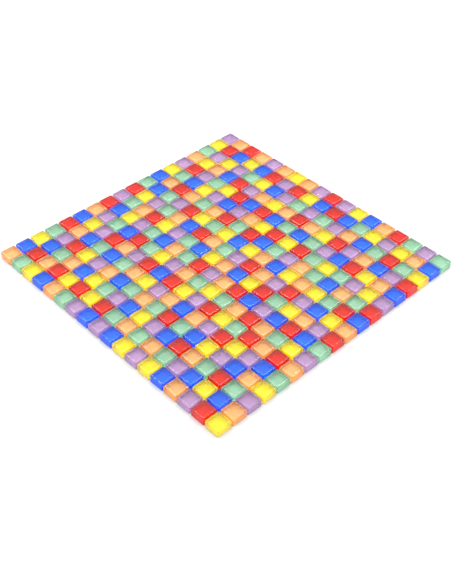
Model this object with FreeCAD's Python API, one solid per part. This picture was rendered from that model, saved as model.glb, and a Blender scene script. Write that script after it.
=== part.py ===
"""Mosaic tile sheet: glass tiles in mixed colours, bonded to a fibreglass net.

Millimetres, +Z up. The origin is at the middle of the sheet's underside, and the tile rows run along X and Y.
"""

import math
import os
import random

import FreeCAD
import Part

# Driving dimensions
TILE_SIDE = 15.0  # side of one square tile
GLASS_THICKNESS = 7.5  # from a tile's painted back to its flat face
EDGE_RADIUS = 1.3  # fire-polished rounding round the face
JOINT_WIDTH = 1.65  # open grout joint between two tiles
TILES_PER_SIDE = 18
YARN_WIDTH = 0.9  # one flat, resin-coated yarn of the net
YARN_THICKNESS = 0.25
YARN_SPACING = 5.0  # middle of one yarn to the middle of the next
NET_MARGIN = 2.0  # how far the net stops short of the outer tiles' sides

# The rounding is cut as flats, each covering an equal share of the quarter circle
EDGE_FLATS = 3

COLOURS = ("blue", "green", "orange", "purple", "red", "yellow")
MIX_SEED = 126172
# Chances that a colour is dealt although the mix would rather not
KEEP_DIAGONAL = 0.35  # a tile of the same colour touches the place at a corner
KEEP_ONE_APART = 0.2  # the last tile but one in the strip has the same colour

# Worked out from the driving dimensions
PITCH = TILE_SIDE + JOINT_WIDTH
SHEET_SIDE = TILES_PER_SIDE * PITCH - JOINT_WIDTH
NET_SIDE = SHEET_SIDE - 2 * NET_MARGIN
NET_THICKNESS = 2 * YARN_THICKNESS  # lengthwise yarns with crosswise yarns laid on them


def square(half_side, height):
    """Corners of a level square about the Z axis, anticlockwise seen from above."""
    signs = ((-1, -1), (1, -1), (1, 1), (-1, 1))
    return [FreeCAD.Vector(x * half_side, y * half_side, height) for x, y in signs]


def flat_face(corners):
    """A plane face whose normal follows the corners by the right-hand rule."""
    return Part.Face(Part.makePolygon(corners + corners[:1]))


def glass_tile():
    """One tile standing on the net, about the Z axis: straight sides and a rounded edge round the face."""
    face_height = NET_THICKNESS + GLASS_THICKNESS
    levels = [square(TILE_SIDE / 2, NET_THICKNESS)]
    for step in range(EDGE_FLATS + 1):
        angle = math.radians(90) * step / EDGE_FLATS
        inset = EDGE_RADIUS * (1 - math.cos(angle))
        drop = EDGE_RADIUS * (1 - math.sin(angle))
        levels.append(square(TILE_SIDE / 2 - inset, face_height - drop))
    faces = [flat_face(levels[0][::-1]), flat_face(levels[-1])]
    for lower, upper in zip(levels, levels[1:]):
        for corner in range(4):
            beside = (corner + 1) % 4
            faces.append(flat_face([lower[corner], lower[beside], upper[beside], upper[corner]]))
    return Part.Solid(Part.Shell(faces))


def dealt_strip(dealer, strip_before):
    """Colours for one strip of tiles, with every colour about equally often, or None if the deal runs out.

    No tile matches the one beside it in the strip or in the strip before. A colour that touches its own kind
    at a corner, or comes back after a single other tile, is mostly put back.
    """
    rounds = math.ceil(TILES_PER_SIDE / len(COLOURS))
    hand = list(COLOURS) * rounds
    strip = []
    for place in range(TILES_PER_SIDE):
        beside = set(strip[-1:]) | set(strip_before[place:place + 1])
        corners = set(strip_before[max(place - 1, 0):place]) | set(strip_before[place + 1:place + 2])
        one_apart = set(strip[-2:-1])
        dealer.shuffle(hand)
        chosen = None
        for card in hand:
            if card in beside:
                continue
            if card in one_apart and dealer.random() > KEEP_ONE_APART:
                continue
            if card in corners and dealer.random() > KEEP_DIAGONAL:
                continue
            chosen = card
            break
        if chosen is None:
            return None
        hand.remove(chosen)
        strip.append(chosen)
    return strip


def colour_mix():
    """The colour of each tile: one list for each strip along Y, in order of X."""
    dealer = random.Random(MIX_SEED)
    strips = []
    while len(strips) < TILES_PER_SIDE:
        strip = dealt_strip(dealer, strips[-1] if strips else [])
        if strip:
            strips.append(strip)
    return strips


def tiles_by_colour():
    """All tiles in their places, gathered in one list for each colour."""
    pattern = glass_tile()
    first = (PITCH - PITCH * TILES_PER_SIDE) / 2
    tiles = {colour: [] for colour in COLOURS}
    for column, strip in enumerate(colour_mix()):
        for row, colour in enumerate(strip):
            tile = pattern.copy()
            tile.translate(FreeCAD.Vector(first + column * PITCH, first + row * PITCH, 0))
            tiles[colour].append(tile)
    return tiles


def yarns_along_y(height):
    """One layer of the net: flat parallel yarns, centred on the sheet, with their undersides at a height."""
    gaps = math.floor((NET_SIDE - YARN_WIDTH) / YARN_SPACING / 2) * 2  # even, so that one yarn is in the middle
    yarns = []
    for number in range(gaps + 1):
        middle = (number - gaps / 2) * YARN_SPACING
        corner = FreeCAD.Vector(middle - YARN_WIDTH / 2, -NET_SIDE / 2, height)
        yarns.append(Part.makeBox(YARN_WIDTH, NET_SIDE, YARN_THICKNESS, corner))
    return yarns


def yarns_along_x(height):
    """The same layer, turned a quarter turn about the sheet's middle."""
    yarns = yarns_along_y(height)
    for yarn in yarns:
        yarn.rotate(FreeCAD.Vector(0, 0, 0), FreeCAD.Vector(0, 0, 1), 90)
    return yarns


def write(name, solids):
    """Writes one STEP file that holds these solids."""
    Part.makeCompound(solids).exportStep(os.path.join("parts", name + ".step"))


def main():
    os.makedirs("parts", exist_ok=True)
    for colour, tiles in tiles_by_colour().items():
        write("tiles_" + colour, tiles)
    write("net_lengthwise_yarns", yarns_along_y(0))
    write("net_crosswise_yarns", yarns_along_x(YARN_THICKNESS))


main()
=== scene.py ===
"""Mosaic tile sheet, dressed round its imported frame: crystal glass over coloured enamel, on a woven net.

Laid out as a Blender add-on and run as a script. Metres, +Z up, the origin at the middle of the sheet's
underside.
"""

import math

import bmesh
import bpy
from bpy.props import FloatProperty, FloatVectorProperty, IntProperty, PointerProperty
from mathutils import Matrix, Vector


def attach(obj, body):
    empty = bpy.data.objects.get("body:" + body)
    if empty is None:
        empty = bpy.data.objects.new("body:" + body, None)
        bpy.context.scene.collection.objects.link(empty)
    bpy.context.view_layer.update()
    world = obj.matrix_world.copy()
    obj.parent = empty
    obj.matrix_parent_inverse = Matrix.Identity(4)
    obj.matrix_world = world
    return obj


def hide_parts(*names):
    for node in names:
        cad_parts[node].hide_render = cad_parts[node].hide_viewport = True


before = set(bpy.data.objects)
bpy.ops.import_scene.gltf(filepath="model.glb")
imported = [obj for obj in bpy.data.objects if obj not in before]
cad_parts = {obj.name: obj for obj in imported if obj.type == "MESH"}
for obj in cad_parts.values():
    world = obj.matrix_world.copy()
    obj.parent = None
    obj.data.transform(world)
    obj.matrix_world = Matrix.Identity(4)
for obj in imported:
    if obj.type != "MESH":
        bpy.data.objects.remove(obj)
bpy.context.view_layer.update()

bl_info = {
    "name": "Mosaic tile sheet",
    "version": (1, 0, 0),
    "blender": (4, 5, 0),
    "location": "3D View > Sidebar > Mosaic",
    "description": "Dresses a sheet of glass mosaic tiles round its packed frame",
    "category": "Object",
}

BODY = "root"
MM = 0.001
WELD = 0.001 * MM  # points that are nearer to one another than this are one point
COLOURS = ("blue", "green", "orange", "purple", "red", "yellow")
YARN_NODES = ("net_lengthwise_yarns", "net_crosswise_yarns")


def islands(node):
    """The box of each separate solid in a CAD node, as its lowest and highest corner, in order of place."""
    merged = bmesh.new()
    merged.from_mesh(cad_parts[node].data)
    bmesh.ops.remove_doubles(merged, verts=merged.verts, dist=WELD)
    boxes = []
    seen = set()
    for start in merged.verts:
        if start in seen:
            continue
        seen.add(start)
        solid = []
        waiting = [start]
        while waiting:
            vert = waiting.pop()
            solid.append(vert.co.copy())
            for edge in vert.link_edges:
                beside = edge.other_vert(vert)
                if beside not in seen:
                    seen.add(beside)
                    waiting.append(beside)
        low = Vector([min(co[axis] for co in solid) for axis in range(3)])
        high = Vector([max(co[axis] for co in solid) for axis in range(3)])
        boxes.append((low, high))
    merged.free()
    return sorted(boxes, key=lambda box: (round(box[0].y, 5), round(box[0].x, 5)))


TILES = {colour: islands("tiles_" + colour) for colour in COLOURS}
ONE_TILE = TILES["red"][0]
TILE_SIDE = ONE_TILE[1].x - ONE_TILE[0].x
TILE_BACK = ONE_TILE[0].z
TILE_FACE = ONE_TILE[1].z
YARNS = islands(YARN_NODES[0])
ONE_YARN, NEXT_YARN = YARNS[:2]


def linear(hex_colour):
    """An sRGB hex colour as linear red, green and blue."""
    parts = [int(hex_colour[at:at + 2], 16) / 255 for at in (1, 3, 5)]
    return [part / 12.92 if part <= 0.04045 else ((part + 0.055) / 1.055) ** 2.4 for part in parts]


def length(name, description, default):
    """A length in metres that a user may change."""
    return FloatProperty(name=name, description=description, default=default, precision=5, unit="LENGTH")


def colour(name, description, hex_colour):
    """A colour that a user may change."""
    return FloatVectorProperty(
        name=name, description=description, default=linear(hex_colour), subtype="COLOR", min=0, max=1,
    )


class TileSettings(bpy.types.PropertyGroup):
    """Sizes and colours of the glass tiles."""

    side: length("Side", "Side of one square tile", TILE_SIDE)
    thickness: length("Thickness", "Height of one tile, enamel included", TILE_FACE - TILE_BACK)
    edge_radius: length("Edge radius", "Fire-polished rounding round the face", 1.3 * MM)
    corner_radius: length("Corner radius", "Rounding of the upright corners", 0.5 * MM)
    arris: length("Arris", "Ground bevel round the back", 0.06 * MM)
    enamel: length("Enamel", "Thickness of the coloured layer on the back", 0.12 * MM)
    enamel_inset: length("Enamel inset", "How far the enamel stops short of the arris", 0.02 * MM)
    shift: length("Shift", "Most that a tile lies out of its place", 0.08 * MM)
    turn: FloatProperty(
        name="Turn", description="Most that a tile is turned out of its row",
        default=math.radians(0.35), subtype="ANGLE",
    )
    tilt: FloatProperty(
        name="Tilt", description="Most that a tile leans", default=math.radians(0.1), subtype="ANGLE",
    )
    seed: IntProperty(name="Seed", description="Picks the tiles' small faults", default=5)
    blue: colour("Blue", "Enamel on the backs of the blue tiles", "#1C74FF")
    green: colour("Green", "Enamel on the backs of the green tiles", "#A0D2B0")
    orange: colour("Orange", "Enamel on the backs of the orange tiles", "#FFC27A")
    purple: colour("Purple", "Enamel on the backs of the purple tiles", "#C19DCB")
    red: colour("Red", "Enamel on the backs of the red tiles", "#EC270A")
    yellow: colour("Yellow", "Enamel on the backs of the yellow tiles", "#FFF01C")
    blue_haze: colour("Blue haze", "Overspray on the blue tiles' ground walls", "#1470FF")
    green_haze: colour("Green haze", "Overspray on the green tiles' ground walls", "#AEDDBB")
    orange_haze: colour("Orange haze", "Overspray on the orange tiles' ground walls", "#FFB062")
    purple_haze: colour("Purple haze", "Overspray on the purple tiles' ground walls", "#CCABD4")
    red_haze: colour("Red haze", "Overspray on the red tiles' ground walls", "#F0220F")
    yellow_haze: colour("Yellow haze", "Overspray on the yellow tiles' ground walls", "#FFDA28")


class NetSettings(bpy.types.PropertyGroup):
    """Sizes and colour of the net."""

    side: length("Side", "Side of the square net", ONE_YARN[1].y - ONE_YARN[0].y)
    spacing: length(
        "Spacing", "Middle of one yarn to the middle of the next", NEXT_YARN[0].x - ONE_YARN[0].x,
    )
    yarn_width: length("Yarn width", "Width of one flat yarn", ONE_YARN[1].x - ONE_YARN[0].x)
    yarn_thickness: length("Yarn thickness", "Thickness of one flat yarn", ONE_YARN[1].z - ONE_YARN[0].z)
    yarn_count: IntProperty(name="Yarns", description="Yarns each way", default=len(YARNS))
    resin: colour("Resin", "Coat of the yarns", "#EEF0EC")


class StageSettings(bpy.types.PropertyGroup):
    """Camera, lamps and floor."""

    place: FloatVectorProperty(
        name="Camera", description="Where the camera stands",
        default=(0.5048, -0.4808, 0.5918), subtype="TRANSLATION", unit="LENGTH",
    )
    azimuth: FloatProperty(
        name="Azimuth", description="Way the camera faces, from along +Y round to along -X",
        default=math.radians(46.32), subtype="ANGLE",
    )
    elevation: FloatProperty(
        name="Elevation", description="How far down the camera looks",
        default=math.radians(42.06), subtype="ANGLE",
    )
    roll: FloatProperty(
        name="Roll", description="How far the camera leans over",
        default=math.radians(-0.3), subtype="ANGLE",
    )
    lens: FloatProperty(
        name="Lens", description="Focal length in millimetres", default=60.02, subtype="DISTANCE_CAMERA",
    )
    sky: FloatProperty(name="Tent", description="Brightness of the white tent", default=2.2)
    backdrop: FloatProperty(
        name="Backdrop", default=1.2,
        description="What a lit backdrop behind the sheet adds, as pale lines on the far roundings",
    )
    softbox_power: FloatProperty(
        name="Softbox power", description="Power of each of the two softboxes", default=15.2, unit="POWER",
    )
    strip_power: FloatProperty(
        name="Strip power", description="Power of each of the two strip lamps", default=1.1, unit="POWER",
    )
    paper: colour("Paper", "The floor's white paper, next to the sheet", "#CECECE")


# The two kinds of node that the trees use most
MATH = "ShaderNodeMath"
VECTOR = "ShaderNodeCombineXYZ"


def add_node(tree, kind, inputs=None, **settings):
    """Adds one node with its settings.

    Each input gets a value, or a link from a socket or from a node's first output.
    """
    node = tree.nodes.new(kind)
    for name, value in settings.items():
        setattr(node, name, value)
    for key, value in (inputs or {}).items():
        if isinstance(value, bpy.types.Node):
            value = value.outputs[0]
        if isinstance(value, bpy.types.NodeSocket):
            tree.links.new(value, node.inputs[key])
        else:
            node.inputs[key].default_value = value
    return node


def new_tree(name, sizes):
    """An empty geometry tree with a mesh in and out and one named input for each size, and its inputs.

    The sizes are a name and a kind of socket each.
    """
    tree = bpy.data.node_groups.new(name, "GeometryNodeTree")
    tree.interface.new_socket("Geometry", in_out="INPUT", socket_type="NodeSocketGeometry")
    tree.interface.new_socket("Geometry", in_out="OUTPUT", socket_type="NodeSocketGeometry")
    for size, kind in sizes.items():
        tree.interface.new_socket(size, in_out="INPUT", socket_type="NodeSocket" + kind)
    return tree, add_node(tree, "NodeGroupInput").outputs


def made_by(tree, name, places, values):
    """The mesh that the tree makes at these places, as a plain object at the origin."""
    points = bpy.data.meshes.new(name + "_places")
    points.from_pydata(places, [], [])
    source = bpy.data.objects.new(name + "_source", points)
    bpy.context.scene.collection.objects.link(source)
    modifier = source.modifiers.new("Tree", "NODES")
    modifier.node_group = tree
    for item in tree.interface.items_tree:
        if item.in_out == "INPUT" and item.name in values:
            modifier[item.identifier] = values[item.name]
    # Flat walls keep flat shading, and only the narrow flats of the roundings shade as one curve
    weighted = source.modifiers.new("Normals", "WEIGHTED_NORMAL")
    weighted.weight = 100  # the most that a large face can count for
    evaluated = source.evaluated_get(bpy.context.evaluated_depsgraph_get())
    mesh = bpy.data.meshes.new_from_object(evaluated)
    mesh.name = name
    bpy.data.objects.remove(source)
    piece = bpy.data.objects.new(name, mesh)
    bpy.context.scene.collection.objects.link(piece)
    return piece


def plate(tree, side, corner):
    """A level square face with cut corners, and its copy that faces down."""
    square = add_node(tree, "GeometryNodeCurvePrimitiveQuadrilateral", {"Width": side, "Height": side})
    outline = add_node(
        tree, "GeometryNodeFilletCurve",
        {"Curve": square, "Radius": corner, "Count": 1, "Limit Radius": True}, mode="POLY",
    )
    face = add_node(tree, "GeometryNodeFillCurve", {"Curve": outline}, mode="NGONS")
    return face, add_node(tree, "GeometryNodeFlipFaces", {"Mesh": face})


def raised(tree, mesh, top, height, scale):
    """Extrudes the chosen faces up by a height, then scales them about their middle."""
    offset = add_node(tree, VECTOR, {"Z": height})
    step = add_node(
        tree, "GeometryNodeExtrudeMesh",
        {"Mesh": mesh, "Selection": top, "Offset": offset, "Individual": False},
    )
    top = step.outputs["Top"]
    chosen = {"Geometry": step, "Selection": top, "Scale": scale}
    return add_node(tree, "GeometryNodeScaleElements", chosen), top


def closed(tree, walls, back):
    """One closed, smooth mesh of walls and the face at their back."""
    joined = add_node(tree, "GeometryNodeJoinGeometry")
    for mesh in (walls, back):
        tree.links.new(mesh.outputs[0], joined.inputs[0])
    merged = add_node(tree, "GeometryNodeMergeByDistance", {"Geometry": joined, "Distance": WELD})
    return add_node(tree, "GeometryNodeSetShadeSmooth", {"Geometry": merged, "Shade Smooth": True})


# What the glass and the enamel of one colour have in common, so that they shift, turn and lean as one tile
FIELD_SIZES = {"Shift": "Float", "Turn": "Float", "Tilt": "Float", "Seed": "Int", "Material": "Material"}


def laid_out(tree, sizes, shape):
    """The shape on each point, in its material, with a small shift and turn and a tone of its own."""
    seed = sizes["Seed"]
    any_way = add_node(
        tree, "FunctionNodeRandomValue", {"Min": (-1, -1, 0), "Max": (1, 1, 0), "Seed": seed},
        data_type="FLOAT_VECTOR",
    )
    offset = add_node(tree, "ShaderNodeVectorMath", {0: any_way, "Scale": sizes["Shift"]}, operation="SCALE")
    points = add_node(tree, "GeometryNodeSetPosition", {"Geometry": sizes["Geometry"], "Offset": offset})
    most = add_node(tree, VECTOR, {"X": sizes["Tilt"], "Y": sizes["Tilt"], "Z": sizes["Turn"]})
    least = add_node(tree, "ShaderNodeVectorMath", {0: most, "Scale": -1}, operation="SCALE")
    turned = add_node(
        tree, "FunctionNodeRandomValue", {"Min": least, "Max": most, "Seed": seed}, data_type="FLOAT_VECTOR",
    )
    tone = add_node(tree, "FunctionNodeRandomValue", {"Seed": seed}, data_type="FLOAT").outputs[1]
    tiles = add_node(
        tree, "GeometryNodeInstanceOnPoints", {"Points": points, "Instance": shape, "Rotation": turned},
    )
    toned = add_node(
        tree, "GeometryNodeStoreNamedAttribute", {"Geometry": tiles, "Name": "tone", "Value": tone},
        domain="INSTANCE", data_type="FLOAT",
    )
    real = add_node(tree, "GeometryNodeRealizeInstances", {"Geometry": toned})
    return add_node(tree, "GeometryNodeSetMaterial", {"Geometry": real, "Material": sizes["Material"]})


EDGE_FLATS = 4  # flats that make up the quarter circle of the rounded edge
WALL_SLOPE = 0.1  # a face whose normal rises or falls by less than this is an upright wall


def glass_tree():
    """Geometry tree of the glass: a bevelled back, upright walls and a rounded edge round the face."""
    tree, sizes = new_tree(
        "Glass tiles",
        {
            "Side": "Float", "Thickness": "Float", "Edge radius": "Float", "Corner radius": "Float",
            "Arris": "Float", "Wall material": "Material", **FIELD_SIZES,
        },
    )
    side, radius, arris = sizes["Side"], sizes["Edge radius"], sizes["Arris"]
    back_side = add_node(tree, MATH, {0: arris, 1: -2, 2: side}, operation="MULTIPLY_ADD")
    mesh, back = plate(tree, back_side, sizes["Corner radius"])
    widening = add_node(tree, MATH, {0: side, 1: back_side}, operation="DIVIDE")
    mesh, top = raised(tree, mesh, True, arris, widening)
    above_arris = add_node(tree, MATH, {0: sizes["Thickness"], 1: arris}, operation="SUBTRACT")
    wall = add_node(tree, MATH, {0: above_arris, 1: radius}, operation="SUBTRACT")
    mesh, top = raised(tree, mesh, top, wall, 1)
    old_side = side
    old_sine = 0
    for step in range(1, EDGE_FLATS + 1):
        angle = math.radians(90) * step / EDGE_FLATS
        both_insets = -2 * (1 - math.cos(angle))
        new_side = add_node(tree, MATH, {0: radius, 1: both_insets, 2: side}, operation="MULTIPLY_ADD")
        climb = add_node(tree, MATH, {0: radius, 1: math.sin(angle) - old_sine}, operation="MULTIPLY")
        narrowing = add_node(tree, MATH, {0: new_side, 1: old_side}, operation="DIVIDE")
        mesh, top = raised(tree, mesh, top, climb, narrowing)
        old_side = new_side
        old_sine = math.sin(angle)
    tiles = laid_out(tree, sizes, closed(tree, mesh, back))
    normal = add_node(tree, "ShaderNodeSeparateXYZ", {0: add_node(tree, "GeometryNodeInputNormal")})
    slope = add_node(tree, MATH, {0: normal.outputs["Z"]}, operation="ABSOLUTE")
    upright = add_node(tree, MATH, {0: slope, 1: WALL_SLOPE}, operation="LESS_THAN")
    tiles = add_node(
        tree, "GeometryNodeSetMaterial",
        {"Geometry": tiles, "Selection": upright, "Material": sizes["Wall material"]},
    )
    add_node(tree, "NodeGroupOutput", {0: tiles})
    return tree


def enamel_tree():
    """Geometry tree of the enamel: one thin plate under each tile."""
    tree, sizes = new_tree(
        "Enamel", {"Side": "Float", "Thickness": "Float", "Corner radius": "Float", **FIELD_SIZES},
    )
    mesh, back = plate(tree, sizes["Side"], sizes["Corner radius"])
    mesh, _ = raised(tree, mesh, True, sizes["Thickness"], 1)
    add_node(tree, "NodeGroupOutput", {0: laid_out(tree, sizes, closed(tree, mesh, back))})
    return tree


YARN_SIDES = 8  # sides of the flat yarn's oval


def yarn_tree():
    """Geometry tree of one layer of the net: flat yarns that go over and under the yarns across them."""
    tree, sizes = new_tree(
        "Woven yarns",
        {
            "Side": "Float", "Spacing": "Float", "Width": "Float", "Thickness": "Float", "Count": "Int",
            "Way": "Float", "Material": "Material",
        },
    )
    spacing, thickness, count = sizes["Spacing"], sizes["Thickness"], sizes["Count"]
    end = add_node(tree, MATH, {0: sizes["Side"], 1: 0.5}, operation="MULTIPLY")
    start = add_node(tree, MATH, {0: end, 1: -1}, operation="MULTIPLY")
    # Straight rows of points, one on each crossing and one half way to the next. They start and end half a
    # spacing past the outer crossings, and what is past the net's ends is drawn back to them
    across = add_node(tree, MATH, {0: count, 1: spacing}, operation="MULTIPLY")
    reach = add_node(tree, MATH, {0: across, 1: 0.5}, operation="MULTIPLY")
    minus_reach = add_node(tree, MATH, {0: reach, 1: -1}, operation="MULTIPLY")
    line = add_node(
        tree, "GeometryNodeCurvePrimitiveLine",
        {"Start": add_node(tree, VECTOR, {"Y": minus_reach}), "End": add_node(tree, VECTOR, {"Y": reach})},
    )
    samples = add_node(tree, MATH, {0: count, 1: 2, 2: 1}, operation="MULTIPLY_ADD")
    yarn = add_node(tree, "GeometryNodeResampleCurve", {"Curve": line, "Count": samples}, mode="COUNT")
    first = add_node(tree, MATH, {0: spacing, 1: 0.5, 2: minus_reach}, operation="MULTIPLY_ADD")
    row = add_node(
        tree, "GeometryNodeMeshLine",
        {
            "Count": count, "Start Location": add_node(tree, VECTOR, {"X": first}),
            "Offset": add_node(tree, VECTOR, {"X": spacing}),
        },
        mode="OFFSET",
    )
    yarns = add_node(tree, "GeometryNodeInstanceOnPoints", {"Points": row, "Instance": yarn})
    yarns = add_node(tree, "GeometryNodeRealizeInstances", {"Geometry": yarns})
    position = add_node(tree, "GeometryNodeInputPosition")
    place = add_node(tree, "ShaderNodeSeparateXYZ", {0: position}).outputs
    from_start = add_node(tree, MATH, {0: place["Y"], 1: start}, operation="MAXIMUM")
    along = add_node(tree, MATH, {0: from_start, 1: end}, operation="MINIMUM")
    # Each yarn is up at one crossing and down at the next, and its neighbours are the other way round
    waves = []
    for at in (place["X"], along):
        crossings = add_node(tree, MATH, {0: at, 1: spacing}, operation="DIVIDE")
        angle = add_node(tree, MATH, {0: crossings, 1: math.pi}, operation="MULTIPLY")
        waves.append(add_node(tree, MATH, {0: angle}, operation="COSINE"))
    weave = add_node(tree, MATH, {0: waves[0], 1: waves[1]}, operation="MULTIPLY")
    lift = add_node(tree, MATH, {0: weave, 1: sizes["Way"]}, operation="MULTIPLY")
    rise = add_node(tree, MATH, {0: thickness, 1: 0.5}, operation="MULTIPLY")
    height = add_node(tree, MATH, {0: lift, 1: rise, 2: thickness}, operation="MULTIPLY_ADD")
    route = add_node(tree, VECTOR, {"X": place["X"], "Y": along, "Z": height})
    woven = add_node(tree, "GeometryNodeSetPosition", {"Geometry": yarns, "Position": route})
    upright = add_node(tree, "GeometryNodeSetCurveNormal", {"Curve": woven}, mode="Z_UP")
    ring = add_node(
        tree, "GeometryNodeCurvePrimitiveCircle", {"Resolution": YARN_SIDES, "Radius": 0.5}, mode="RADIUS",
    )
    section = add_node(tree, VECTOR, {"X": sizes["Width"], "Y": thickness, "Z": 1})
    oval = add_node(tree, "GeometryNodeTransform", {"Geometry": ring, "Scale": section})
    solid = add_node(
        tree, "GeometryNodeCurveToMesh", {"Curve": upright, "Profile Curve": oval, "Fill Caps": True},
    )
    smooth = add_node(tree, "GeometryNodeSetShadeSmooth", {"Geometry": solid, "Shade Smooth": True})
    coated = add_node(tree, "GeometryNodeSetMaterial", {"Geometry": smooth, "Material": sizes["Material"]})
    add_node(tree, "NodeGroupOutput", {0: coated})
    return tree


def new_material(name):
    """An empty node material, and its tree."""
    material = bpy.data.materials.new(name)
    material.use_nodes = True
    material.node_tree.nodes.clear()
    return material, material.node_tree


GLASS_IOR = 1.52  # soda-lime glass


def polished_glass():
    """Low-iron soda-lime glass, fire-polished: clear to the enamel, with soft reflections."""
    material, tree = new_material("Crystal glass, fire-polished")
    shader = add_node(
        tree, "ShaderNodeBsdfPrincipled",
        {
            "Base Color": (*linear("#FDFEFD"), 1), "Roughness": 0.15, "IOR": GLASS_IOR,
            "Transmission Weight": 1,
        },
    )
    add_node(tree, "ShaderNodeOutputMaterial", {"Surface": shader})
    return material


def ground_glass(name, rgb):
    """Ground glass with a haze of overspray: the walls blur what is behind them and dim the far sides."""
    material, tree = new_material("Ground glass, " + name)
    shader = add_node(
        tree, "ShaderNodeBsdfPrincipled",
        {"Base Color": (*rgb, 1), "Roughness": 0.35, "IOR": GLASS_IOR, "Transmission Weight": 0.8},
    )
    add_node(tree, "ShaderNodeOutputMaterial", {"Surface": shader})
    return material


CLOUD_SIZE = 4 * MM  # from one cloud in the enamel to the next
CLOUD_SHARE = 0.06  # how much brighter the enamel's brightest clouds are than its darkest
TONE_SHARE = 0.08  # how much brighter the brightest tile of a colour is than its darkest


def enamel(name, rgb):
    """Enamel sprayed on the back and fired: even, with faint clouds, and a shade off from tile to tile."""
    material, tree = new_material("Enamel, " + name)
    place = add_node(tree, "ShaderNodeTexCoord").outputs["Object"]
    clouds = add_node(tree, "ShaderNodeTexNoise", {"Vector": place, "Scale": 1 / CLOUD_SIZE, "Detail": 3})
    tone = add_node(tree, "ShaderNodeAttribute", attribute_name="tone").outputs["Fac"]
    darkest = 1 - (CLOUD_SHARE + TONE_SHARE) / 2
    clouded = add_node(tree, MATH, {0: clouds, 1: CLOUD_SHARE, 2: darkest}, operation="MULTIPLY_ADD")
    value = add_node(tree, MATH, {0: tone, 1: TONE_SHARE, 2: clouded}, operation="MULTIPLY_ADD")
    paint = add_node(tree, "ShaderNodeHueSaturation", {"Color": (*rgb, 1), "Value": value})
    shader = add_node(
        tree, "ShaderNodeBsdfPrincipled", {"Base Color": paint, "Roughness": 0.6, "Specular IOR Level": 0.0},
    )
    add_node(tree, "ShaderNodeOutputMaterial", {"Surface": shader})
    return material


def coated_fibreglass(rgb):
    """Woven fibreglass in an alkali-proof resin coat: dull white yarns."""
    material, tree = new_material("Fibreglass, resin-coated")
    shader = add_node(tree, "ShaderNodeBsdfPrincipled", {"Base Color": (*rgb, 1), "Roughness": 0.55})
    add_node(tree, "ShaderNodeOutputMaterial", {"Surface": shader})
    return material


def fitted(piece, node):
    """Makes the piece ride on the sheet, in the place of this CAD node."""
    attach(piece, BODY)
    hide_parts(node)


class MOSAIC_OT_tiles(bpy.types.Operator):
    """Make the glass tiles and the enamel on their backs, one piece of each for every colour."""

    bl_idname = "mosaic.tiles"
    bl_label = "Glass tiles"

    def execute(self, context):
        settings = context.scene.mosaic_tiles
        polished = polished_glass()
        glass_shape = glass_tree()
        enamel_shape = enamel_tree()
        field = {"Shift": settings.shift, "Turn": settings.turn, "Tilt": settings.tilt}
        # The enamel is let into the glass by half its thickness, so that no film of air parts them
        glass_back = settings.enamel / 2
        enamel_side = settings.side - 2 * (settings.arris + settings.enamel_inset)
        for number, name in enumerate(COLOURS):
            middles = [(low + high) / 2 for low, high in TILES[name]]
            field["Seed"] = settings.seed + number
            piece = made_by(
                glass_shape, name + "_glass", [(at.x, at.y, TILE_BACK + glass_back) for at in middles],
                {
                    "Side": settings.side, "Thickness": settings.thickness - glass_back,
                    "Edge radius": settings.edge_radius, "Corner radius": settings.corner_radius,
                    "Arris": settings.arris, "Material": polished,
                    "Wall material": ground_glass(name, getattr(settings, name + "_haze")), **field,
                },
            )
            fitted(piece, "tiles_" + name)
            piece = made_by(
                enamel_shape, name + "_enamel", [(at.x, at.y, TILE_BACK) for at in middles],
                {
                    "Side": enamel_side, "Thickness": settings.enamel,
                    "Corner radius": settings.corner_radius,
                    "Material": enamel(name, getattr(settings, name)), **field,
                },
            )
            fitted(piece, "tiles_" + name)
        return {"FINISHED"}


class MOSAIC_OT_net(bpy.types.Operator):
    """Make the woven net that the tiles' backs are glued to."""

    bl_idname = "mosaic.net"
    bl_label = "Fibreglass net"

    def execute(self, context):
        settings = context.scene.mosaic_net
        tree = yarn_tree()
        material = coated_fibreglass(settings.resin)
        for node, name, way in zip(YARN_NODES, ("lengthwise_yarns", "crosswise_yarns"), (-1, 1)):
            piece = made_by(
                tree, name, [(0, 0, 0)],
                {
                    "Side": settings.side, "Spacing": settings.spacing, "Width": settings.yarn_width,
                    "Thickness": settings.yarn_thickness, "Count": settings.yarn_count, "Way": way,
                    "Material": material,
                },
            )
            if way > 0:
                piece.data.transform(Matrix.Rotation(math.radians(90), 4, "Z"))
            fitted(piece, node)
        return {"FINISHED"}


# How bright the tent is by height, from the horizon (0) to overhead (1). From the camera, the tiles' level
# faces mirror heights of 0.55 at the far corner to 0.77 at the near one
TENT = ((0, 0.45), (0.3, 0.45), (0.44, 0.34), (0.54, 0.29), (0.7, 0.52), (1, 0.8))
# The way from the sheet straight away from the camera, in degrees from +X. The level faces mirror what is
# there, so the lamps stand to the left and the right of it, and light the tiles from behind
BEHIND = 136
# For each kind of lamp: degrees to the side of that way, degrees up, distance, and the lamp's two sides
LAMPS = {
    "softbox": (58, 54, 1.5, (1.1, 1.25)),
    "strip": (47, 61, 1.3, (0.6, 0.12)),
}
# The backdrop fades in from the first value to the second. Its sides are given by how squarely a way leads
# to it (1 is straight behind the sheet), and its top by height in the tent
BACKDROP_SIDES = (0.6, 0.85)
BACKDROP_TOP = (0.44, 0.3)
FLOOR_REACH = 4.0  # from the sheet's middle to each side of the floor
PAPER_FADE = (0.4, 0.9)  # from the sheet's middle to where the paper starts to fade, and to where it is gone


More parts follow.
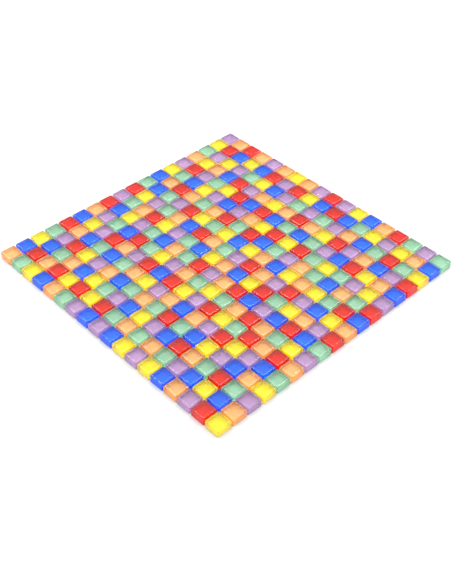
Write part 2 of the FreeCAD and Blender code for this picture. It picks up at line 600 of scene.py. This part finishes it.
class MOSAIC_OT_stage(bpy.types.Operator):
    """Set up the white floor and tent, the lamps and the camera."""

    bl_idname = "mosaic.stage"
    bl_label = "Stage"

    def execute(self, context):
        scene = context.scene
        settings = scene.mosaic_stage
        scene.view_settings.view_transform = "Standard"
        self.floor(scene, settings)
        self.tent(scene, settings)
        for side, way in (("left", 1), ("right", -1)):
            for kind, (aside, up, distance, size) in LAMPS.items():
                power = getattr(settings, kind + "_power")
                self.lamp(scene, side + "_" + kind, power, BEHIND + aside * way, up, distance, size)
        self.camera(scene, settings)
        return {"FINISHED"}

    def floor(self, scene, settings):
        """Paper that takes the sheet's shadow, and fades into an even white further out."""
        corners = [(x * FLOOR_REACH, y * FLOOR_REACH, 0) for x, y in ((-1, -1), (1, -1), (1, 1), (-1, 1))]
        mesh = bpy.data.meshes.new("floor")
        mesh.from_pydata(corners, [], [(0, 1, 2, 3)])
        floor = bpy.data.objects.new("floor", mesh)
        scene.collection.objects.link(floor)
        material, tree = new_material("White paper")
        paper = add_node(tree, "ShaderNodeBsdfDiffuse", {"Color": (*settings.paper, 1)})
        white = add_node(tree, "ShaderNodeEmission", {"Color": (1, 1, 1, 1), "Strength": 1})
        place = add_node(tree, "ShaderNodeTexCoord").outputs["Object"]
        distance = add_node(tree, "ShaderNodeVectorMath", {0: place}, operation="LENGTH").outputs["Value"]
        near, far = PAPER_FADE
        gone = add_node(tree, "ShaderNodeMapRange", {"Value": distance, "From Min": near, "From Max": far})
        path = add_node(tree, "ShaderNodeLightPath").outputs
        by_glass = {0: path["Is Glossy Ray"], 1: path["Is Transmission Ray"]}
        in_glass = add_node(tree, MATH, by_glass, operation="MAXIMUM")
        seen = add_node(tree, MATH, {0: path["Is Camera Ray"], 1: in_glass}, operation="MAXIMUM")
        share = add_node(tree, MATH, {0: gone, 1: seen}, operation="MULTIPLY")
        both = add_node(tree, "ShaderNodeMixShader", {0: share, 1: paper, 2: white})
        add_node(tree, "ShaderNodeOutputMaterial", {"Surface": both})
        mesh.materials.append(material)

    def tent(self, scene, settings):
        """A white tent all round, dimmest where the far tiles mirror it, and a lit backdrop behind them."""
        world = bpy.data.worlds.new("White tent")
        world.use_nodes = True
        tree = world.node_tree
        tree.nodes.clear()
        way = add_node(tree, "ShaderNodeTexCoord").outputs["Generated"]
        level = add_node(tree, "ShaderNodeSeparateXYZ", {0: way}).outputs["Z"]
        ramp = add_node(tree, "ShaderNodeValToRGB", {"Fac": level})
        for height, _ in TENT[1:-1]:
            ramp.color_ramp.elements.new(height)
        for element, (height, share) in zip(ramp.color_ramp.elements, TENT):
            element.color = (share, share, share, 1)
        back = (math.cos(math.radians(BEHIND)), math.sin(math.radians(BEHIND)), 0)
        squarely = add_node(tree, "ShaderNodeVectorMath", {0: way, 1: back}, operation="DOT_PRODUCT")
        shares = []
        for value, (start, end) in ((squarely.outputs["Value"], BACKDROP_SIDES), (level, BACKDROP_TOP)):
            fade = {"Value": value, "From Min": start, "From Max": end}
            shares.append(add_node(tree, "ShaderNodeMapRange", fade))
        shape = add_node(tree, MATH, {0: shares[0], 1: shares[1]}, operation="MULTIPLY")
        backdrop = add_node(tree, MATH, {0: shape, 1: settings.backdrop}, operation="MULTIPLY")
        strength = add_node(tree, MATH, {0: ramp, 1: settings.sky, 2: backdrop}, operation="MULTIPLY_ADD")
        light = add_node(tree, "ShaderNodeBackground", {"Color": (1, 1, 1, 1), "Strength": strength})
        add_node(tree, "ShaderNodeOutputWorld", {"Surface": light})
        scene.world = world

    def lamp(self, scene, name, power, azimuth, elevation, distance, size):
        """A lamp that faces the sheet from this way, in degrees."""
        light = bpy.data.lights.new(name, "AREA")
        light.shape = "RECTANGLE"
        light.energy = power
        light.size, light.size_y = size
        lamp = bpy.data.objects.new(name, light)
        azimuth, elevation = math.radians(azimuth), math.radians(elevation)
        level = math.cos(elevation)
        way = Vector((math.cos(azimuth) * level, math.sin(azimuth) * level, math.sin(elevation)))
        lamp.location = way * distance
        lamp.rotation_euler = way.to_track_quat("Z", "Y").to_euler()
        scene.collection.objects.link(lamp)

    def camera(self, scene, settings):
        """The camera, at the photograph's viewing angle."""
        data = bpy.data.cameras.new("camera")
        data.lens = settings.lens
        camera = bpy.data.objects.new("camera", data)
        turn = Matrix.Rotation(settings.azimuth, 3, "Z")
        turn = turn @ Matrix.Rotation(math.radians(90) - settings.elevation, 3, "X")
        turn = turn @ Matrix.Rotation(-settings.roll, 3, "Z")
        camera.matrix_world = Matrix.Translation(settings.place) @ turn.to_4x4()
        scene.collection.objects.link(camera)
        scene.camera = camera


OPERATORS = (MOSAIC_OT_tiles, MOSAIC_OT_net, MOSAIC_OT_stage)


class MOSAIC_PT_sheet(bpy.types.Panel):
    """The sheet's pieces and their settings."""

    bl_label = "Mosaic tile sheet"
    bl_space_type = "VIEW_3D"
    bl_region_type = "UI"
    bl_category = "Mosaic"

    def draw(self, context):
        groups = (context.scene.mosaic_tiles, context.scene.mosaic_net, context.scene.mosaic_stage)
        for operator, settings in zip(OPERATORS, groups):
            box = self.layout.box()
            for name in settings.__annotations__:
                box.prop(settings, name)
            box.operator(operator.bl_idname)


CLASSES = (TileSettings, NetSettings, StageSettings, *OPERATORS, MOSAIC_PT_sheet)


def register():
    for cls in CLASSES:
        bpy.utils.register_class(cls)
    bpy.types.Scene.mosaic_tiles = PointerProperty(type=TileSettings)
    bpy.types.Scene.mosaic_net = PointerProperty(type=NetSettings)
    bpy.types.Scene.mosaic_stage = PointerProperty(type=StageSettings)


def unregister():
    del bpy.types.Scene.mosaic_stage
    del bpy.types.Scene.mosaic_net
    del bpy.types.Scene.mosaic_tiles
    for cls in reversed(CLASSES):
        bpy.utils.unregister_class(cls)


def main():
    """Makes the pieces and the stage."""
    register()
    bpy.ops.mosaic.tiles()
    bpy.ops.mosaic.net()
    bpy.ops.mosaic.stage()


if __name__ == "__main__":
    main()
